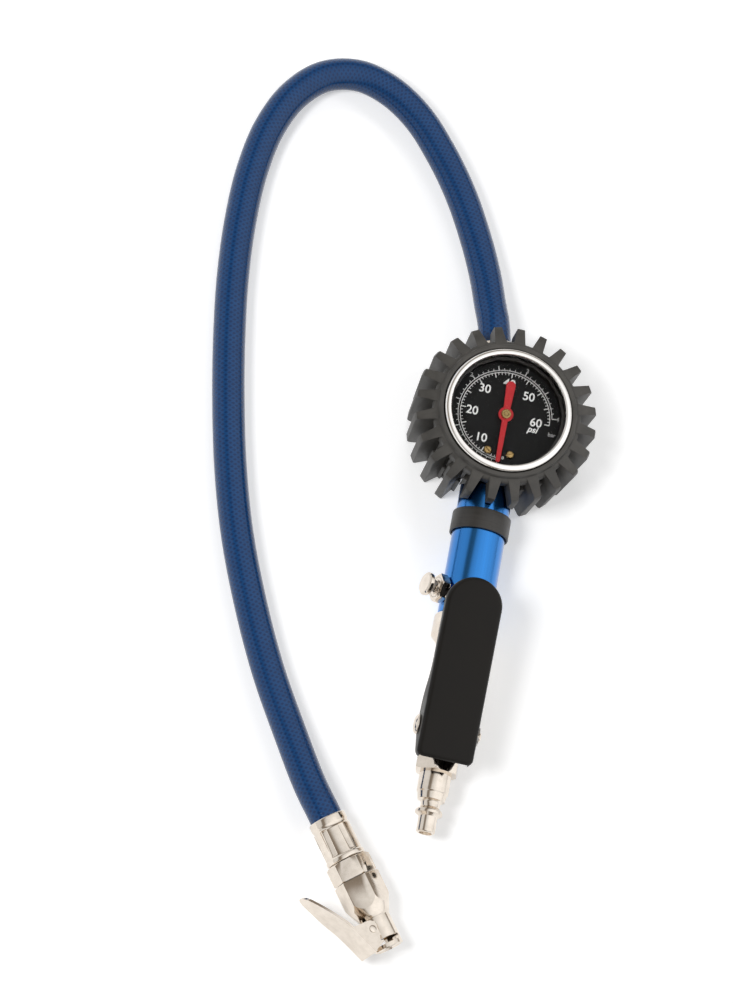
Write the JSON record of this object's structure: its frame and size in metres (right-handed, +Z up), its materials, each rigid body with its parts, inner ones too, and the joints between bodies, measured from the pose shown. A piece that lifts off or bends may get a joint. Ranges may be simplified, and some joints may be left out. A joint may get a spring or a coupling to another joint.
{
  "type": "tyre inflator with gauge",
  "caption": "Hand-held tyre inflator: trigger valve handle, booted dial pressure gauge, bleed button, hose and clip-on air chuck.",
  "frame": {"origin": "centre of the underside of the handle and gauge together, on the surface the tool lies on", "axes": "+Y along the handle from the inlet plug to the hose end, +Z up out of the dial, +X to the right of the dial"},
  "size_m": [0.1723, 0.3945, 0.0389],
  "materials": {
    "anodised_tube": "bright blue anodised",
    "band_rubber": "matte moulded rubber",
    "boot_rubber": "matte moulded rubber",
    "seal_rubber": "smooth rubber",
    "nickel": "warm bright nickel plate",
    "bezel_chrome": "polished",
    "lever_black": "satin black paint",
    "case_black": "satin black paint",
    "brass": "machined",
    "spring_steel": "drawn wire",
    "lens_glass": "clear",
    "dial_black": "matte black with white scale",
    "pointer_red": "satin red paint",
    "hose_blue": "clear-coated braided PVC"
  },
  "bodies": {
    "handle": {"body_tube": "anodised_tube", "tube_band": "band_rubber", "valve_housing": "nickel", "inlet_plug": "nickel", "inlet_seal": "seal_rubber", "valve_bush": "brass", "valve_cap": "nickel", "valve_spring": "spring_steel", "lever_pin": "nickel", "lever_pin_clip": "spring_steel", "bleed_body": "nickel", "bleed_spring": "spring_steel", "gauge_case": "case_black", "gauge_manifold": "brass", "gauge_bezel": "bezel_chrome", "gauge_lens": "lens_glass", "lens_gasket": "seal_rubber", "dial_plate": "dial_black", "dial_screw_left": "brass", "dial_screw_right": "brass", "movement_frame": "brass", "bourdon_tube": "brass", "gauge_socket": "brass", "gauge_boot": "boot_rubber", "hose_sleeve": "nickel", "hose": "hose_blue", "chuck_ferrule": "nickel", "chuck_nut": "nickel", "chuck_body": "nickel", "depressor_pin": "brass", "chuck_seal": "seal_rubber", "clip_pin": "nickel", "clip_spring": "spring_steel"},
    "lever": {"lever": "lever_black"},
    "valve_stem": {"valve_stem": "nickel", "valve_seal": "seal_rubber"},
    "bleed_button": {"bleed_button": "nickel", "bleed_seal": "seal_rubber"},
    "pointer": {"pointer": "pointer_red", "pointer_shaft": "brass"},
    "sector_gear": {"sector_gear": "brass"},
    "chuck_clip": {"chuck_clip": "nickel"}
  },
  "joints": [
    {"name": "lever_squeeze", "type": "hinge", "parent": "handle", "child": "lever", "pos_m": [0, -0.0686, 0.0229], "axis": [-1, 0, 0], "range_deg": [0, 8], "stiffness_Nm_per_rad": 1.5, "springref_deg": -17.19},
    {"name": "valve_press", "type": "slide", "parent": "handle", "child": "valve_stem", "axis": [0, 0, -1], "range_m": [0, 0.00314], "deforming": ["valve_spring"]},
    {"name": "bleed_press", "type": "slide", "parent": "handle", "child": "bleed_button", "axis": [0.9397, 0, -0.342], "range_m": [0, 0.0015], "stiffness_N_per_m": 600, "springref_m": -0.002},
    {"name": "pointer_spin", "type": "hinge", "parent": "handle", "child": "pointer", "pos_m": [0, 0.0714, 0.0289], "axis": [0, 0, -1], "range_deg": [0, 270], "stiffness_Nm_per_rad": 0.0002, "springref_deg": -11.46},
    {"name": "sector_swing", "type": "hinge", "parent": "handle", "child": "sector_gear", "pos_m": [0.0068, 0.08318, 0.0219], "axis": [0, 0, -1], "range_deg": [-36.1, 0]},
    {"name": "clip_pivot", "type": "hinge", "parent": "handle", "child": "chuck_clip", "pos_m": [-0.01667, -0.1574, 0.01248], "axis": [-0.2742, -0.2044, -0.9397], "range_deg": [0, 12], "stiffness_Nm_per_rad": 0.3, "springref_deg": -17.19}
  ],
  "couplings": [
    {"joint": "valve_press", "follows": "lever_squeeze", "m_per_rad": 0.022345},
    {"joint": "sector_swing", "follows": "pointer_spin", "ratio": -0.13333}
  ]
}
